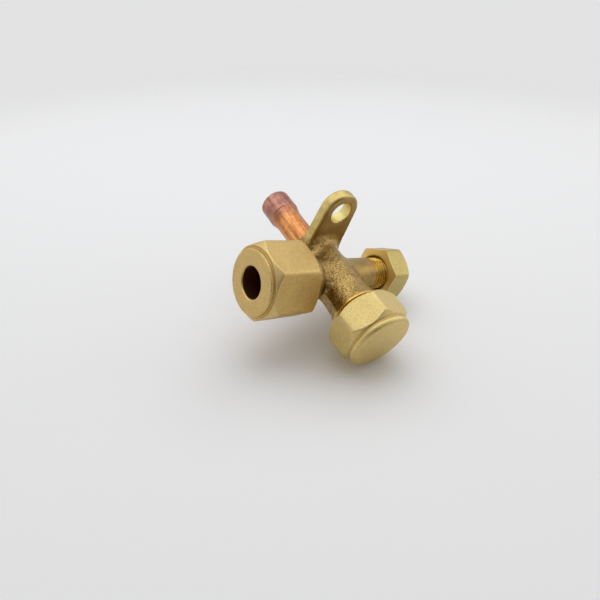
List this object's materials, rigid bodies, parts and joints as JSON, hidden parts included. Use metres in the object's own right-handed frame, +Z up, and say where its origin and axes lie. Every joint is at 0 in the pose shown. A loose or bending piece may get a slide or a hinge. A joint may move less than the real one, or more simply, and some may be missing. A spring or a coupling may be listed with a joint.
{
  "type": "refrigerant service valve",
  "caption": "Brass three-way service valve with a lug: flare nut, capped stem, capped service port and a swaged copper pipe stub.",
  "frame": {"origin": "where the axis of the lug's hole meets the lug's back face, the face that goes against a bracket", "axes": "+Z up from the valve's crossing to the lug; -Y along the stem to its cap, +Y along the copper pipe stub; -X flare nut, +X service port"},
  "size_m": [0.0621, 0.0683, 0.0368],
  "materials": {
    "forged_brass": "satin",
    "copper": "satin copper",
    "braze": "satin",
    "nut_brass": "satin",
    "bonnet_copper": "satin copper",
    "cap_brass": "satin",
    "gasket": "smooth",
    "stem_brass": "satin",
    "seal_rubber": "matt",
    "ring_steel": "satin",
    "small_cap_brass": "satin",
    "rubber_gasket": "matt",
    "core_brass": "satin",
    "white_seal": "smooth",
    "pin_steel": "bright"
  },
  "bodies": {
    "body": {"valve_body": "forged_brass", "pipe_stub": "copper", "braze_ring": "braze", "stem_retaining_ring": "ring_steel", "core_head": "core_brass", "core_barrel": "core_brass", "core_barrel_seal": "white_seal", "core_spring": "pin_steel"},
    "flare_nut_slide": {"flare_bonnet": "bonnet_copper"},
    "flare_nut": {"flare_nut": "nut_brass"},
    "stem_cap_slide": {"stem_cap_gasket": "gasket"},
    "stem_cap": {"stem_cap": "cap_brass"},
    "service_cap_slide": {"service_cap_gasket": "rubber_gasket"},
    "service_cap": {"service_cap": "small_cap_brass"},
    "stem_slide": {"stem_seal_inner": "seal_rubber", "stem_seal_outer": "seal_rubber"},
    "stem": {"valve_stem": "stem_brass"},
    "core_pin": {"core_pin": "pin_steel", "core_pin_cup": "core_brass", "core_cup_seal": "seal_rubber"}
  },
  "joints": [
    {"name": "flare_nut_travel", "type": "slide", "parent": "body", "child": "flare_nut_slide", "axis": [-1, 0, 0], "range_m": [0, 0.012]},
    {"name": "flare_nut_turn", "type": "hinge", "parent": "flare_nut_slide", "child": "flare_nut", "pos_m": [0, -0.0135, -0.0185], "axis": [-1, 0, 0], "range_deg": [0, 3061]},
    {"name": "stem_cap_travel", "type": "slide", "parent": "body", "child": "stem_cap_slide", "axis": [0, -1, 0], "range_m": [0, 0.0096]},
    {"name": "stem_cap_turn", "type": "hinge", "parent": "stem_cap_slide", "child": "stem_cap", "pos_m": [0, -0.0135, -0.0185], "axis": [0, -1, 0], "range_deg": [0, 2304]},
    {"name": "service_cap_travel", "type": "slide", "parent": "body", "child": "service_cap_slide", "axis": [1, 0, 0], "range_m": [0, 0.0071]},
    {"name": "service_cap_turn", "type": "hinge", "parent": "service_cap_slide", "child": "service_cap", "pos_m": [0, -0.0135, -0.0185], "axis": [1, 0, 0], "range_deg": [0, 2012]},
    {"name": "stem_travel", "type": "slide", "parent": "body", "child": "stem_slide", "axis": [0, -1, 0], "range_m": [0, 0.0058]},
    {"name": "stem_turn", "type": "hinge", "parent": "stem_slide", "child": "stem", "pos_m": [0, -0.0135, -0.0185], "axis": [0, -1, 0], "range_deg": [0, 2088]},
    {"name": "core_pin_press", "type": "slide", "parent": "body", "child": "core_pin", "axis": [-1, 0, 0], "range_m": [0, 0.001], "stiffness_N_per_m": 600, "springref_m": -0.0015, "deforming": ["core_spring"]}
  ],
  "couplings": [
    {"joint": "flare_nut_travel", "follows": "flare_nut_turn", "m_per_rad": 0.00022458},
    {"joint": "stem_cap_travel", "follows": "stem_cap_turn", "m_per_rad": 0.00023873},
    {"joint": "service_cap_travel", "follows": "service_cap_turn", "m_per_rad": 0.00020213},
    {"joint": "stem_travel", "follows": "stem_turn", "m_per_rad": 0.00015915}
  ]
}
